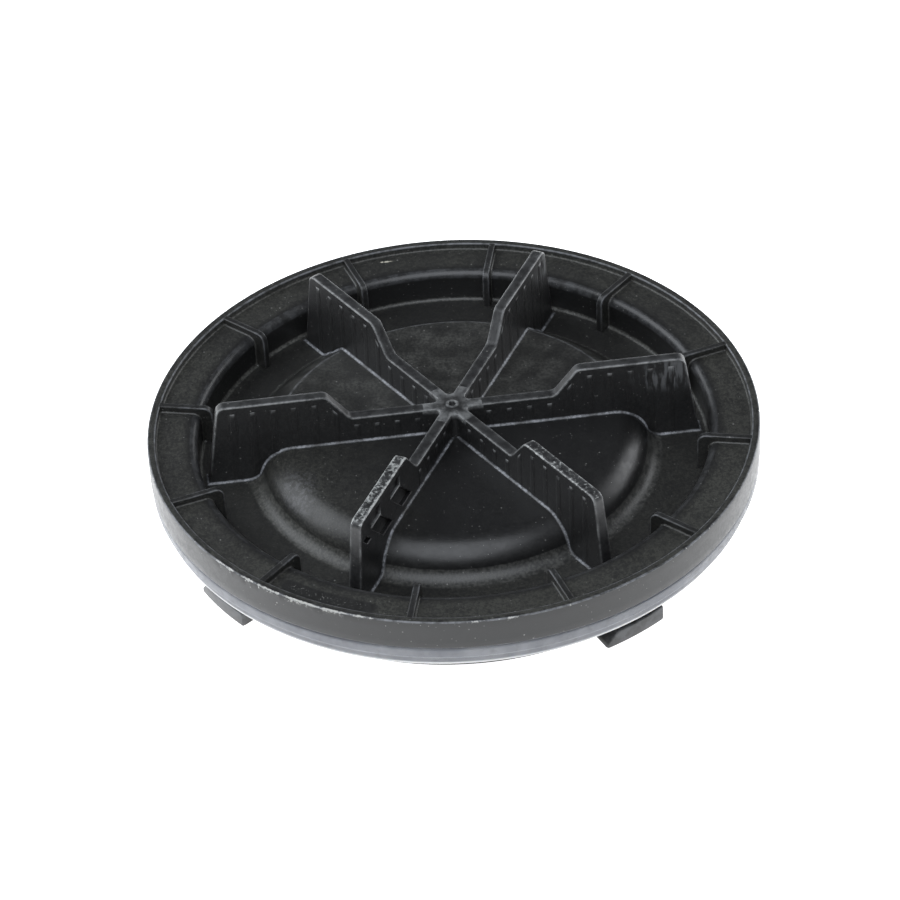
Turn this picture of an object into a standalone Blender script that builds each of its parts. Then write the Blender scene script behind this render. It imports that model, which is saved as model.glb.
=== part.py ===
# Twist-in access cover. A round moulded cover carries a six-armed finger grip and short
# rim ribs on top. Below, a spigot with four bayonet lugs enters the opening that the cover
# closes, and a soft seal ring under the skirt meets the edge of that opening.
# Metres, +Z up. The origin is on the axis, in the plane of the spigot's lower rim.
# Depths and heights called "below the lip" or "above the lip" start at the top of the rim.

import math

import bmesh
import bpy
from mathutils import Vector

MM = 0.001

# Cover shell
SPIGOT_RADIUS = 52.2 * MM
SPIGOT_WALL = 1.9 * MM
SPIGOT_CHAMFER = 0.4 * MM
FLANGE_REACH = 7.8 * MM         # skirt's outer face beyond the spigot
LIP_WIDTH = 1.6 * MM
LIP_EDGE = 0.25 * MM
SKIRT_DEPTH = 6.5 * MM
SHELL_WALL = 2.0 * MM
CELL_DEPTH = 1.4 * MM           # cell floors below the lip
TROUGH_DEPTH = 8.2 * MM         # ring-shaped trough below the lip
CREST_RADIUS = 1.6 * MM         # rounded edge between cell floor and trough wall
TROUGH_FILLET = 0.5 * MM
COLUMNS_PER_HALF = 32

# Rear plateau, a low cone frustum
REAR_DEPTH = 2.4 * MM
REAR_TROUGH_WIDTH = 8.3 * MM
REAR_SLOPE_RUN = 6.9 * MM
REAR_EDGE = 0.8 * MM
REAR_FOOT_FILLET = 1.5 * MM

# Front bulge, a half moon with a full round shoulder
BULGE_DEPTH = 1.5 * MM
BULGE_TROUGH_WIDTH = 11.6 * MM
BULGE_SLOPE_RUN = 2.3 * MM
BULGE_SHOULDER = 8.4 * MM
BULGE_FOOT_FILLET = 1.0 * MM

# Grip
ARM_COUNT = 6
ARM_THICKNESS = 2.3 * MM
ARM_HIGH = 9.9 * MM             # above the lip
ARM_LOW = 4.1 * MM              # above the lip
ARM_HIGH_LENGTH = 21.3 * MM
ARM_STEP_RUN = 4.5 * MM
ARM_END_RUN = 2.7 * MM          # how far the outer end leans out towards its foot
ARM_END_CLEARANCE = 1.7 * MM    # foot of the arm to the trough wall
ARM_CORNER = 1.8 * MM
GATE_RADIUS = 0.8 * MM
GATE_DEPTH = 0.5 * MM
GATE_SIDES = 16
RIDGE_PITCH = 4.0 * MM
RIDGE_WIDTH = 1.5 * MM
RIDGE_STAND = 0.4 * MM
RIDGE_DROP = 1.6 * MM           # top of a ridge below the arm's edge
RIDGE_START = 7.0 * MM          # first ridge from the axis
POCKET_ARM = 4                  # the arm with tool pockets, counted from +X
POCKET_COUNT = 2
POCKET_INSET = 9.2 * MM         # outer pocket's middle to the arm's foot
POCKET_PITCH = 9.1 * MM
POCKET_LENGTH = 4.5 * MM
POCKET_HEIGHT = 2.6 * MM
POCKET_DEPTH = 0.7 * MM

# Rim ribs
RIB_COUNT = 12
RIB_THICKNESS = 1.3 * MM
RIB_OVERHANG = 2.3 * MM         # inner end beyond the trough wall
RIB_CORNER = 1.8 * MM

# Bayonet lugs
LUG_COUNT = 4
LUG_FIRST_ANGLE = math.radians(30)
LUG_STAND = 4.2 * MM            # lug's outer face beyond the spigot
LUG_LENGTH = 13.2 * MM
LUG_HEIGHT = 3.4 * MM
LUG_LIFT = 0.2 * MM             # lug above the spigot's lower rim
RAMP_LENGTH = 2.7 * MM
RAMP_FOOT = 0.9 * MM
LUG_STEPS = 5
PANEL_THICKNESS = 2.7 * MM      # edge of the opening, held between seal and lugs

# Seal ring
SEAL_INSET = 0.1 * MM           # bead behind the skirt's outer face
SEAL_BEAD = 2.2 * MM
SEAL_GROOVE = 0.3 * MM
SEAL_GROOVE_DEPTH = 1.0 * MM
SEAL_LIP = 2.1 * MM
SEAL_LIP_INSET = 0.9 * MM       # lip behind the skirt's outer face
SEAL_EDGE = 0.5 * MM
SEAL_FOOT_WIDTH = 1.3 * MM
SEAL_HOLLOW = 1.2 * MM

CLEARANCE = 0.3 * MM            # seat gap between neighbouring features
SEAT_STEPS = 48
SEAT_PROBES = 8
STRAIGHTNESS = 0.02 * MM        # bend below which a seat point is dropped

# Levels and radii that follow
SEAL_BASE = LUG_LIFT + LUG_HEIGHT + PANEL_THICKNESS
SKIRT_LEVEL = SEAL_BASE + SEAL_LIP + SEAL_GROOVE + SEAL_BEAD + CLEARANCE
RIM_HEIGHT = SKIRT_LEVEL + SKIRT_DEPTH
WALL_RADIUS = SPIGOT_RADIUS - SPIGOT_WALL
OUTER_RADIUS = SPIGOT_RADIUS + FLANGE_REACH
LIP_RADIUS = OUTER_RADIUS - LIP_WIDTH
CELL_LEVEL = RIM_HEIGHT - CELL_DEPTH
TROUGH_LEVEL = RIM_HEIGHT - TROUGH_DEPTH
REAR_LEVEL = RIM_HEIGHT - REAR_DEPTH
BULGE_LEVEL = RIM_HEIGHT - BULGE_DEPTH
FLANGE_UNDERSIDE = CELL_LEVEL - SHELL_WALL
ARM_HIGH_LEVEL = RIM_HEIGHT + ARM_HIGH
ARM_LOW_LEVEL = RIM_HEIGHT + ARM_LOW
ARM_FOOT_RADIUS = WALL_RADIUS - ARM_END_CLEARANCE
ARM_END = ARM_FOOT_RADIUS - ARM_END_RUN
HUB_APOTHEM = ARM_THICKNESS
ARM_START = HUB_APOTHEM + CLEARANCE

COVER_BLACK = (0.018, 0.018, 0.019, 1.0)
GRIP_BLACK = (0.014, 0.014, 0.015, 1.0)
SEAL_WHITE = (0.62, 0.63, 0.70, 1.0)


def clear_scene():
    for old in list(bpy.data.objects):
        bpy.data.objects.remove(old, do_unlink=True)


def material(name, colour, roughness):
    made = bpy.data.materials.new(name)
    made.use_nodes = True
    shader = made.node_tree.nodes["Principled BSDF"]
    shader.inputs["Base Color"].default_value = colour
    shader.inputs["Roughness"].default_value = roughness
    shader.inputs["Metallic"].default_value = 0.0
    return made


def new_object(name, mesh, looks):
    made = bpy.data.objects.new(name, mesh)
    mesh.materials.append(looks)
    bpy.context.scene.collection.objects.link(made)
    return made


def finish_mesh(name, shape, smooth_angle=math.radians(30)):
    bmesh.ops.recalc_face_normals(shape, faces=shape.faces)
    mesh = bpy.data.meshes.new(name)
    shape.to_mesh(mesh)
    shape.free()
    mesh.shade_smooth()
    mesh.set_sharp_from_angle(angle=smooth_angle)
    return mesh


def cut(target, cutter):
    cutter.hide_render = True
    cutter.display_type = "WIRE"
    cutter.parent = target
    knife = target.modifiers.new(cutter.name, "BOOLEAN")
    knife.operation = "DIFFERENCE"
    knife.solver = "EXACT"
    knife.object = cutter


# Outlines

def arc(start, corner, end, steps):
    """Circular arc that touches both sides of a corner."""
    turn = (corner - start).angle(end - corner)
    weight = math.cos(turn / 2)
    points = []
    for step in range(steps + 1):
        t = step / steps
        shares = ((1 - t) ** 2, 2 * weight * t * (1 - t), t ** 2)
        points.append((start * shares[0] + corner * shares[1] + end * shares[2]) / sum(shares))
    return points


def rounded(corners):
    """Open outline from (radius, level, corner radius, arc steps); crowded fillets give way."""
    points = [Vector((radius, level)) for radius, level, _, _ in corners]
    reach = [0.0] * len(points)
    for i in range(1, len(points) - 1):
        turn = (points[i] - points[i - 1]).angle(points[i + 1] - points[i])
        reach[i] = corners[i][2] * math.tan(turn / 2)
    share = [1.0] * len(points)
    for i in range(len(points) - 1):
        side = (points[i + 1] - points[i]).length
        need = reach[i] + reach[i + 1]
        if need > 0.98 * side:
            share[i] = min(share[i], 0.98 * side / need)
            share[i + 1] = min(share[i + 1], 0.98 * side / need)
    outline = []
    for i, point in enumerate(points):
        length = reach[i] * share[i]
        if length == 0.0:
            outline.append(point)
            continue
        start = point + (points[i - 1] - point).normalized() * length
        end = point + (points[i + 1] - point).normalized() * length
        outline.extend(arc(start, point, end, corners[i][3]))
    return outline


def level_at(outline, radius):
    """Level of an outline that runs outwards, at one radius."""
    for before, after in zip(outline, outline[1:]):
        if before.x <= radius <= after.x:
            along = (radius - before.x) / max(after.x - before.x, 1e-9)
            return before.y + (after.y - before.y) * along
    return outline[-1].y


def lifted(outline, start, end):
    """The outline raised by the seat clearance, measured square to its surface."""
    offsets = [CLEARANCE * probe / SEAT_PROBES for probe in range(-SEAT_PROBES, SEAT_PROBES + 1)]
    seat = []
    for step in range(SEAT_STEPS + 1):
        radius = start + (end - start) * step / SEAT_STEPS
        reached = [
            level_at(outline, radius + offset) + math.sqrt(CLEARANCE ** 2 - offset ** 2)
            for offset in offsets
        ]
        seat.append(Vector((radius, max(reached))))
    return seat


# Solids

def lathe(name, columns, capped=False, full_turn=True):
    """Turned solid. Each column is (angle, outline); outlines close on themselves unless capped."""
    shape = bmesh.new()
    rings = []
    for angle, outline in columns:
        turned = (math.cos(angle), math.sin(angle))
        rings.append([shape.verts.new((p.x * turned[0], p.x * turned[1], p.y)) for p in outline])
    pairs = list(zip(rings, rings[1:]))
    if full_turn:
        pairs.append((rings[-1], rings[0]))
    count = len(rings[0])
    for ring, following in pairs:
        for i in range(count - 1 if capped else count):
            j = (i + 1) % count
            shape.faces.new((ring[i], ring[j], following[j], following[i]))
    if capped:
        for end in (0, -1):
            pole = shape.verts.new((0.0, 0.0, rings[0][end].co.z))
            for ring, following in pairs:
                shape.faces.new((pole, ring[end], following[end]))
    if not full_turn:
        shape.faces.new(rings[0])
        shape.faces.new(rings[-1])
    return finish_mesh(name, shape)


def plate(name, outline, near, far):
    """Flat solid with a side outline in the radial plane, from y = near to y = far."""
    shape = bmesh.new()
    sides = []
    for y in (near, far):
        sides.append([shape.verts.new((p.x, y, p.y)) for p in outline])
        shape.faces.new(sides[-1])
    count = len(outline)
    for i in range(count):
        j = (i + 1) % count
        shape.faces.new((sides[0][i], sides[0][j], sides[1][j], sides[1][i]))
    return finish_mesh(name, shape)


def half_turn(start):
    """Column angles of one half of the shell. The two halves meet under the arms on the X axis."""
    margin = math.pi / COLUMNS_PER_HALF / 3
    span = math.pi - 2 * margin
    return [start + margin + span * i / COLUMNS_PER_HALF for i in range(COLUMNS_PER_HALF + 1)]


def even_turn(count):
    return [math.tau * i / count for i in range(count)]


# Cover shell

def crown(level, trough_width, slope_run, edge, foot_fillet):
    """Plateau and its slope, as corners that run outwards to the foot on the trough floor."""
    foot = WALL_RADIUS - trough_width
    return [
        (HUB_APOTHEM, level, 0, 1),
        (foot - slope_run, level, edge, 7),
        (foot, TROUGH_LEVEL, foot_fillet, 3),
    ]


def rear_crown():
    return crown(REAR_LEVEL, REAR_TROUGH_WIDTH, REAR_SLOPE_RUN, REAR_EDGE, REAR_FOOT_FILLET)


def bulge_crown():
    return crown(
        BULGE_LEVEL, BULGE_TROUGH_WIDTH, BULGE_SLOPE_RUN, BULGE_SHOULDER, BULGE_FOOT_FILLET
    )


def top_surface(crown_corners):
    """Visible top from the hub out to the lip."""
    return rounded(crown_corners + [
        (WALL_RADIUS, TROUGH_LEVEL, TROUGH_FILLET, 2),
        (WALL_RADIUS, CELL_LEVEL, CREST_RADIUS, 4),
        (LIP_RADIUS, CELL_LEVEL, 0, 1),
    ])


def rim_and_spigot():
    """Lip, skirt, seal channel and spigot, from the lip's inner edge to the spigot's inner face."""
    return rounded([
        (LIP_RADIUS, CELL_LEVEL, 0, 1),
        (LIP_RADIUS, RIM_HEIGHT, LIP_EDGE, 1),
        (OUTER_RADIUS, RIM_HEIGHT, LIP_EDGE, 1),
        (OUTER_RADIUS, SKIRT_LEVEL, LIP_EDGE, 1),
        (LIP_RADIUS, SKIRT_LEVEL, 0, 1),
        (LIP_RADIUS, FLANGE_UNDERSIDE, 0, 1),
        (SPIGOT_RADIUS, FLANGE_UNDERSIDE, 0, 1),
        (SPIGOT_RADIUS, 0.0, SPIGOT_CHAMFER, 1),
        (WALL_RADIUS, 0.0, 0, 1),
        (WALL_RADIUS, TROUGH_LEVEL - SHELL_WALL, 0, 1),
    ])[1:]


def underside(crown_corners):
    """Inner face of the crown, one wall below its top, running inwards."""
    (hub, level, _, _), (edge, _, shoulder, _), (foot, _, fillet, _) = crown_corners
    slope = math.atan2(level - TROUGH_LEVEL, foot - edge)
    setback = SHELL_WALL * math.tan(slope / 2)
    inner_shoulder = max(shoulder - SHELL_WALL, TROUGH_FILLET)
    return rounded([
        (WALL_RADIUS, TROUGH_LEVEL - SHELL_WALL, 0, 1),
        (foot - setback, TROUGH_LEVEL - SHELL_WALL, fillet + SHELL_WALL, 3),
        (edge - setback, level - SHELL_WALL, inner_shoulder, 4),
        (hub, level - SHELL_WALL, 0, 1),
    ])[1:]


def shell_outline(crown_corners):
    return top_surface(crown_corners) + rim_and_spigot() + underside(crown_corners)


def cover_shell(looks):
    rear = shell_outline(rear_crown())
    bulge = shell_outline(bulge_crown())
    columns = [(angle, rear) for angle in half_turn(0.0)]
    columns += [(angle, bulge) for angle in half_turn(math.pi)]
    new_object("cover_shell", lathe("cover_shell", columns, capped=True), looks)


# Grip

def arm_top():
    """Upper edge of an arm, running outwards to its foot."""
    high_start = ARM_END - ARM_HIGH_LENGTH
    return rounded([
        (ARM_START, ARM_LOW_LEVEL, 0, 1),
        (high_start - ARM_STEP_RUN, ARM_LOW_LEVEL, ARM_CORNER, 3),
        (high_start, ARM_HIGH_LEVEL, ARM_CORNER, 3),
        (ARM_END, ARM_HIGH_LEVEL, ARM_CORNER, 3),
        (ARM_FOOT_RADIUS, TROUGH_LEVEL + CLEARANCE, 0, 1),
    ])


def arm_seat(angle):
    """Surface that an arm stands on. The two arms over the join clear both halves."""
    rear = lifted(top_surface(rear_crown()), ARM_START, ARM_FOOT_RADIUS)
    bulge = lifted(top_surface(bulge_crown()), ARM_START, ARM_FOOT_RADIUS)
    side = math.sin(angle)
    if side > 0.01:
        return rear
    if side < -0.01:
        return bulge
    return [max(pair, key=lambda point: point.y) for pair in zip(rear, bulge)]


def simplified(outline):
    """Drops points that lie on the straight line between their kept neighbours."""
    kept = [outline[0]]
    for i in range(1, len(outline) - 1):
        chord = outline[i + 1] - kept[-1]
        offset = outline[i] - kept[-1]
        if abs(chord.cross(offset)) > STRAIGHTNESS * chord.length:
            kept.append(outline[i])
    kept.append(outline[-1])
    return kept


def ridge_comb(name, top, near, far):
    """Removes the arm's side skin everywhere but at the ridges."""
    reach = 2 * RIDGE_PITCH
    floor = TROUGH_LEVEL - SHELL_WALL
    roof = ARM_HIGH_LEVEL + RIDGE_PITCH
    outline = [Vector((-reach, roof)), Vector((-reach, floor))]
    middle = RIDGE_START
    while middle + RIDGE_WIDTH / 2 < ARM_END:
        left = middle - RIDGE_WIDTH / 2
        right = middle + RIDGE_WIDTH / 2
        tip = min(level_at(top, left), level_at(top, right)) - RIDGE_DROP
        outline += [Vector((left, floor)), Vector((left, tip))]
        outline += [Vector((right, tip)), Vector((right, floor))]
        middle += RIDGE_PITCH
    outline += [Vector((ARM_FOOT_RADIUS + reach, floor)), Vector((ARM_FOOT_RADIUS + reach, roof))]
    return plate(name, outline, near, far)


def pocket(number):
    middle = ARM_FOOT_RADIUS - POCKET_INSET - POCKET_PITCH * number
    top = ARM_HIGH_LEVEL - RIDGE_DROP
    low = middle - POCKET_LENGTH / 2
    high = middle + POCKET_LENGTH / 2
    corners = ((low, top), (low, top - POCKET_HEIGHT), (high, top - POCKET_HEIGHT), (high, top))
    outline = [Vector(corner) for corner in corners]
    face = ARM_THICKNESS / 2
    return plate("pocket_cutter", outline, face - POCKET_DEPTH, face + 2 * RIDGE_STAND)


def grip_arm(index, looks, cutter_looks):
    angle = math.tau * index / ARM_COUNT
    name = f"grip_arm_{index + 1}"
    top = arm_top()
    outline = top[:-1] + list(reversed(simplified(arm_seat(angle))))
    core = ARM_THICKNESS / 2
    skin = core + RIDGE_STAND
    arm = new_object(name, plate(name, outline, -skin, skin), looks)
    for sign in (-1, 1):
        sides = sorted((sign * core, sign * (skin + RIDGE_STAND)))
        cutter = new_object(f"{name}_comb", ridge_comb(f"{name}_comb", top, *sides), cutter_looks)
        cut(arm, cutter)
    if index == POCKET_ARM:
        for number in range(POCKET_COUNT):
            cut(arm, new_object("pocket_cutter", pocket(number), cutter_looks))
    arm.rotation_euler.z = angle


def grip_hub(looks, cutter_looks):
    base = max(REAR_LEVEL, BULGE_LEVEL) + CLEARANCE
    corner_radius = HUB_APOTHEM / math.cos(math.pi / ARM_COUNT)
    outline = [Vector((corner_radius, base)), Vector((corner_radius, ARM_LOW_LEVEL))]
    turns = [angle + math.pi / ARM_COUNT for angle in even_turn(ARM_COUNT)]
    mesh = lathe("grip_hub", [(angle, outline) for angle in turns], capped=True)
    hub = new_object("grip_hub", mesh, looks)
    gate_floor = ARM_LOW_LEVEL - GATE_DEPTH
    gate = [Vector((GATE_RADIUS, gate_floor)), Vector((GATE_RADIUS, ARM_LOW_LEVEL + GATE_DEPTH))]
    mesh = lathe("gate_cutter", [(angle, gate) for angle in even_turn(GATE_SIDES)], capped=True)
    cut(hub, new_object("gate_cutter", mesh, cutter_looks))


# Rim ribs

def rim_rib(index, looks):
    name = f"rim_rib_{index + 1:02d}"
    inner = WALL_RADIUS - RIB_OVERHANG
    wall = WALL_RADIUS - CLEARANCE
    lip = LIP_RADIUS - CLEARANCE
    fillet = max(TROUGH_FILLET - CLEARANCE, 0.0)
    outline = rounded([
        (lip, RIM_HEIGHT, 0, 1),
        (inner, RIM_HEIGHT, RIB_CORNER, 4),
        (inner, TROUGH_LEVEL + CLEARANCE, 0, 1),
        (wall, TROUGH_LEVEL + CLEARANCE, fillet, 1),
        (wall, CELL_LEVEL + CLEARANCE, CREST_RADIUS + CLEARANCE, 5),
        (lip, CELL_LEVEL + CLEARANCE, 0, 1),
    ])
    rib = new_object(name, plate(name, outline, -RIB_THICKNESS / 2, RIB_THICKNESS / 2), looks)
    rib.rotation_euler.z = math.tau * (index + 0.5) / RIB_COUNT


# Bayonet lugs

def lug_outline(height):
    inner = SPIGOT_RADIUS + CLEARANCE
    outer = SPIGOT_RADIUS + LUG_STAND
    low = LUG_LIFT
    corners = ((inner, low), (outer, low), (outer, low + height), (inner, low + height))
    return [Vector(corner) for corner in corners]


def bayonet_lug(index, looks):
    """Ring sector whose clockwise end is a lead-in ramp."""
    name = f"bayonet_lug_{index + 1}"
    outer = SPIGOT_RADIUS + LUG_STAND
    half = LUG_LENGTH / outer / 2
    ramp_end = -half + RAMP_LENGTH / outer
    columns = [(-half, lug_outline(RAMP_FOOT))]
    for step in range(LUG_STEPS + 1):
        angle = ramp_end + (half - ramp_end) * step / LUG_STEPS
        columns.append((angle, lug_outline(LUG_HEIGHT)))
    lug = new_object(name, lathe(name, columns, full_turn=False), looks)
    lug.rotation_euler.z = LUG_FIRST_ANGLE + math.tau * index / LUG_COUNT


# Seal ring

def seal_ring(looks):
    """Channel filler with an outer bead and two soft lips below the skirt."""
    inner = SPIGOT_RADIUS + CLEARANCE
    channel = LIP_RADIUS - CLEARANCE
    bead = OUTER_RADIUS - SEAL_INSET
    lip = OUTER_RADIUS - SEAL_LIP_INSET
    groove = bead - SEAL_GROOVE_DEPTH
    lip_top = SEAL_BASE + SEAL_LIP
    bead_base = lip_top + SEAL_GROOVE
    bead_top = bead_base + SEAL_BEAD
    outline = rounded([
        (inner, FLANGE_UNDERSIDE - CLEARANCE, 0, 1),
        (channel, FLANGE_UNDERSIDE - CLEARANCE, 0, 1),
        (channel, bead_top, 0, 1),
        (bead, bead_top, SEAL_EDGE, 2),
        (bead, bead_base, SEAL_EDGE, 2),
        (groove, bead_base, 0, 1),
        (groove, lip_top, 0, 1),
        (lip, lip_top, 0, 1),
        (lip, SEAL_BASE, SEAL_EDGE, 2),
        (lip - SEAL_FOOT_WIDTH, SEAL_BASE, 0, 1),
        (lip - 2 * SEAL_FOOT_WIDTH, SEAL_BASE + SEAL_HOLLOW, 0, 1),
        (inner + 2 * SEAL_FOOT_WIDTH, SEAL_BASE + SEAL_HOLLOW, 0, 1),
        (inner + SEAL_FOOT_WIDTH, SEAL_BASE, 0, 1),
        (inner, SEAL_BASE, 0, 1),
    ])
    columns = [(angle, outline) for angle in even_turn(2 * COLUMNS_PER_HALF)]
    new_object("seal_ring", lathe("seal_ring", columns), looks)


def main():
    clear_scene()
    cutter_looks = material("cutter", GRIP_BLACK, 0.5)
    cover_shell(material("cover_shell", COVER_BLACK, 0.48))
    grip_hub(material("grip_hub", GRIP_BLACK, 0.45), cutter_looks)
    for index in range(ARM_COUNT):
        grip_arm(index, material(f"grip_arm_{index + 1}", GRIP_BLACK, 0.45), cutter_looks)
    for index in range(RIB_COUNT):
        rim_rib(index, material(f"rim_rib_{index + 1:02d}", COVER_BLACK, 0.48))
    for index in range(LUG_COUNT):
        bayonet_lug(index, material(f"bayonet_lug_{index + 1}", COVER_BLACK, 0.5))
    seal_ring(material("seal_ring", SEAL_WHITE, 0.4))


main()
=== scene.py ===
import math

import bmesh
import bpy
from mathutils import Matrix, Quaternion, Vector, noise
from mathutils.geometry import tessellate_polygon


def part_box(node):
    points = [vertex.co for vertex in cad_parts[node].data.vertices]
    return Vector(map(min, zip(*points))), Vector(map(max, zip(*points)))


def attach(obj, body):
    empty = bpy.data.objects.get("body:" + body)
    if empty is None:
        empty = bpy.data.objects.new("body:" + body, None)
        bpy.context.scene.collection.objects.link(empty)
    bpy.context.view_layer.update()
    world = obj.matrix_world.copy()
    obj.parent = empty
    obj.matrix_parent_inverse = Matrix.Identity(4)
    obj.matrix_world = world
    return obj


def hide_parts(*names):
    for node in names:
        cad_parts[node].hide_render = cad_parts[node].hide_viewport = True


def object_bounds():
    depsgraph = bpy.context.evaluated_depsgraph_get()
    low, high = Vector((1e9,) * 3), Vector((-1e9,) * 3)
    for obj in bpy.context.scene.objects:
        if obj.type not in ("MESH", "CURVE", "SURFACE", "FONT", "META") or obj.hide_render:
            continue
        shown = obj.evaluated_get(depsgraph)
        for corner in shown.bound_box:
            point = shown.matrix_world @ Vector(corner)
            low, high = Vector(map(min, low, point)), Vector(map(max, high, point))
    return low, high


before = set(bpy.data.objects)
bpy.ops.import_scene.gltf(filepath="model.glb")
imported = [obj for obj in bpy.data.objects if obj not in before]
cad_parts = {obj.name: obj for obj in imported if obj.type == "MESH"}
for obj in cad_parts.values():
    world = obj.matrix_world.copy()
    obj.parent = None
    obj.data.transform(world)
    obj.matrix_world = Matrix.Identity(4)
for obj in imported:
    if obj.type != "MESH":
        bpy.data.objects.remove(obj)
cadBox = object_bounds()
scene = bpy.context.scene

# Shapes are worked out in millimetres and scaled once, when a mesh is made.
mm = 0.001

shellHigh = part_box("cover_shell")[1] / mm
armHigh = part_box("grip_arm_1")[1] / mm
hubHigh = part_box("grip_hub")[1] / mm
lugBox = [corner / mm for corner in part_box("bayonet_lug_1")]
sealBox = [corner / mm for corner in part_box("seal_ring")]

rimLevel = shellHigh.z
outerRadius = shellHigh.y
print("frame loaded:", len(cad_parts), "CAD nodes, rim at", round(rimLevel, 2), "mm")


# Lines in the radial plane, as (radius, level)

def cornerArc(start, corner, end, steps):
    turn = (corner - start).angle(end - corner)
    weight = math.cos(turn / 2)
    points = []
    for step in range(steps + 1):
        t = step / steps
        shares = ((1 - t) ** 2, 2 * weight * t * (1 - t), t ** 2)
        points.append((start * shares[0] + corner * shares[1] + end * shares[2]) / sum(shares))
    return points


def roundedLine(corners):
    # corners are (radius, level, rounding, steps); crowded roundings give way
    points = [Vector((corner[0], corner[1])) for corner in corners]
    reach = [0.0] * len(points)
    for i in range(1, len(points) - 1):
        turn = (points[i] - points[i - 1]).angle(points[i + 1] - points[i])
        reach[i] = corners[i][2] * math.tan(turn / 2)
    share = [1.0] * len(points)
    for i in range(len(points) - 1):
        room = 0.98 * (points[i + 1] - points[i]).length
        need = reach[i] + reach[i + 1]
        if need > room:
            share[i] = min(share[i], room / need)
            share[i + 1] = min(share[i + 1], room / need)
    line = []
    for i, point in enumerate(points):
        length = reach[i] * share[i]
        if length == 0.0:
            line.append(point)
            continue
        start = point + (points[i - 1] - point).normalized() * length
        end = point + (points[i + 1] - point).normalized() * length
        line.extend(cornerArc(start, point, end, corners[i][3]))
    return line


def levelAt(line, radius):
    for before, after in zip(line, line[1:]):
        if before.x <= radius <= after.x:
            along = (radius - before.x) / max(after.x - before.x, 1e-9)
            return before.y + (after.y - before.y) * along
    return line[-1].y if radius > line[-1].x else line[0].y


def filledIn(lines, spacing):
    # adds the same number of points to each line, so that the lines still match
    filled = [[] for _ in lines]
    for i in range(len(lines[0]) - 1):
        longest = max((line[i + 1] - line[i]).length for line in lines)
        count = max(1, math.ceil(longest / spacing))
        for line, made in zip(lines, filled):
            made.extend(line[i].lerp(line[i + 1], k / count) for k in range(count))
    for line, made in zip(lines, filled):
        made.append(line[-1])
    return filled


def insetLoop(points, distance):
    # a closed counterclockwise loop, moved inwards
    leastSlant = 0.35  # keeps a very sharp corner from shooting inwards
    count = len(points)
    moved = []
    for i, point in enumerate(points):
        before = (point - points[i - 1]).normalized()
        after = (points[(i + 1) % count] - point).normalized()
        inwards = Vector((-before.y - after.y, before.x + after.x)).normalized()
        slant = max(leastSlant, inwards.dot(Vector((-before.y, before.x))))
        moved.append(point + inwards * distance / slant)
    return moved


def clamped(value):
    return max(0.0, min(1.0, value))


# Meshes

# the wear and dust marks also carry painted highlights and painted shade in a few places
markNames = ("wearAndHighlight", "dustAndPaintedLight", "zone", "matt")  # kept for each point and read by the finishes


def newShape():
    return {key: [] for key in ("points", "faces", *markNames)}


def addPoint(shape, point, wearAndHighlight=0.0, dustAndPaintedLight=0.0, zone=0.0, matt=0.5):
    shape["points"].append(Vector(point))
    shape["wearAndHighlight"].append(wearAndHighlight)
    shape["dustAndPaintedLight"].append(dustAndPaintedLight)
    shape["zone"].append(zone)
    shape["matt"].append(matt)
    return len(shape["points"]) - 1


def joinLoops(shape, first, second, closed=True):
    count = len(first)
    for i in range(count if closed else count - 1):
        j = (i + 1) % count
        shape["faces"].append((first[i], first[j], second[j], second[i]))


def closeTube(shape, rings, flipped=False):
    # rings joined in turn, with a face at each end
    for first, second in zip(rings, rings[1:]):
        joinLoops(shape, *((second, first) if flipped else (first, second)))
    for ring, turned in ((rings[0], not flipped), (rings[-1], flipped)):
        shape["faces"].append(tuple(reversed(ring) if turned else ring))


def addToScene(thing):
    scene.collection.objects.link(thing)


def makePiece(name, shape, looks, nodes, turn=0.0, sharp=34):
    mesh = bpy.data.meshes.new(name)
    around = Quaternion((0, 0, 1), turn)
    mesh.from_pydata([around @ point * mm for point in shape["points"]], [], shape["faces"])
    turned = bmesh.new()
    turned.from_mesh(mesh)
    bmesh.ops.recalc_face_normals(turned, faces=turned.faces)
    turned.to_mesh(mesh)
    turned.free()
    for mark in markNames:
        layer = mesh.attributes.new(mark, "FLOAT", "POINT")
        layer.data.foreach_set("value", shape[mark])
    mesh.materials.append(looks)
    mesh.shade_smooth()
    mesh.set_sharp_from_angle(angle=math.radians(sharp))
    piece = bpy.data.objects.new(name, mesh)
    addToScene(piece)
    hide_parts(*nodes)
    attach(piece, "root")
    return piece


# Finishes

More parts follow.
